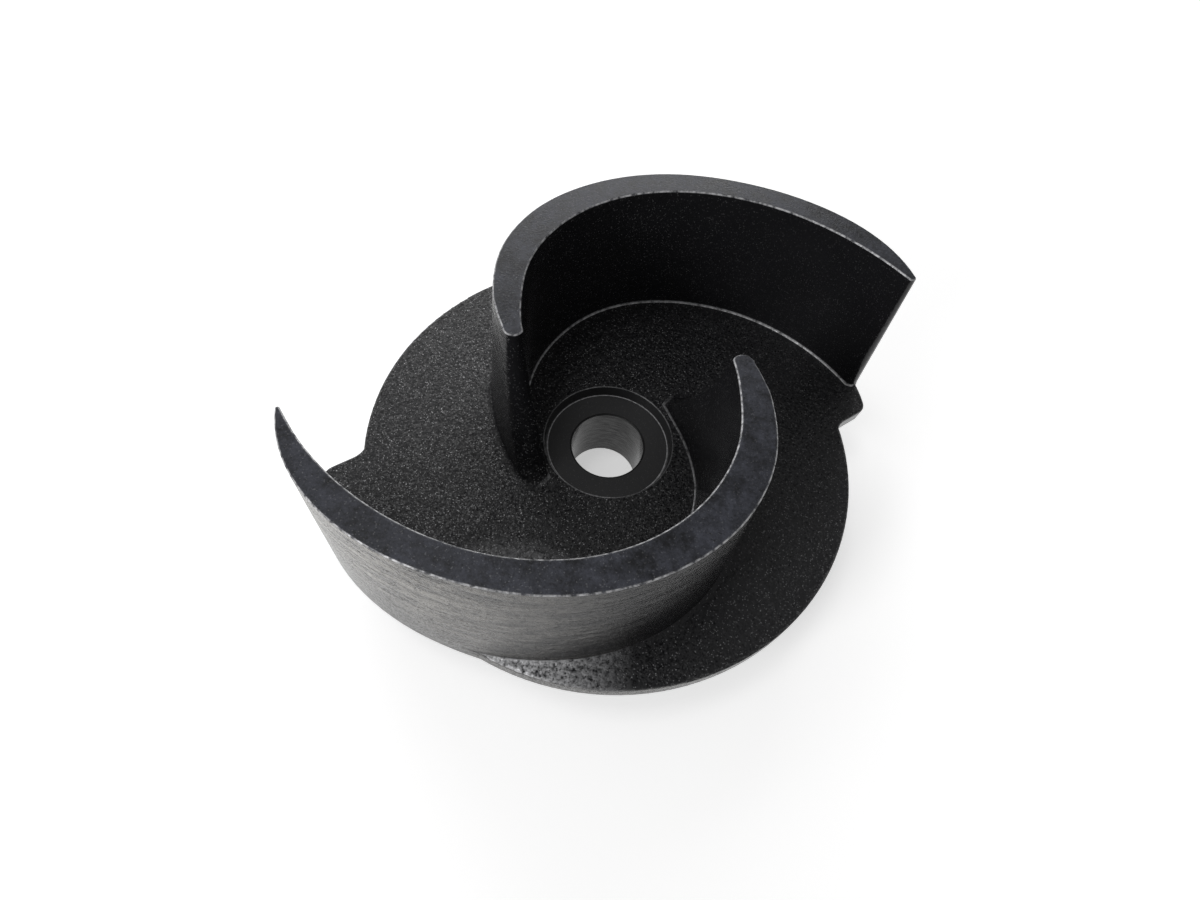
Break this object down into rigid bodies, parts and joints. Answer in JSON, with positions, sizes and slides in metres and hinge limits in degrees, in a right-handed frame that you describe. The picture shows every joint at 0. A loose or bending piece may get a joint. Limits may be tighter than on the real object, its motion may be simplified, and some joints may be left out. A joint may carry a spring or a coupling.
{
  "type": "pump impeller",
  "caption": "Semi-open cast iron pump impeller: curved vanes with swept noses stand on a round back plate with a bored hub and a washer seat in the eye.",
  "frame": {"origin": "on the shaft axis, in the plane of the machined back face of the hub", "axes": "+Z along the shaft axis from the hub's back face towards the suction side, where the vanes stand; +X and +Y lie in the back face and the vanes' noses stand near 47 and 227 degrees from +X"},
  "size_m": [0.1415, 0.1322, 0.0614],
  "materials": {
    "casting": "as-cast dark grey skin with fine sand grain, machined vane tops, washer seat and bore"
  },
  "bodies": {
    "root": {"impeller": "casting"}
  },
  "joints": []
}
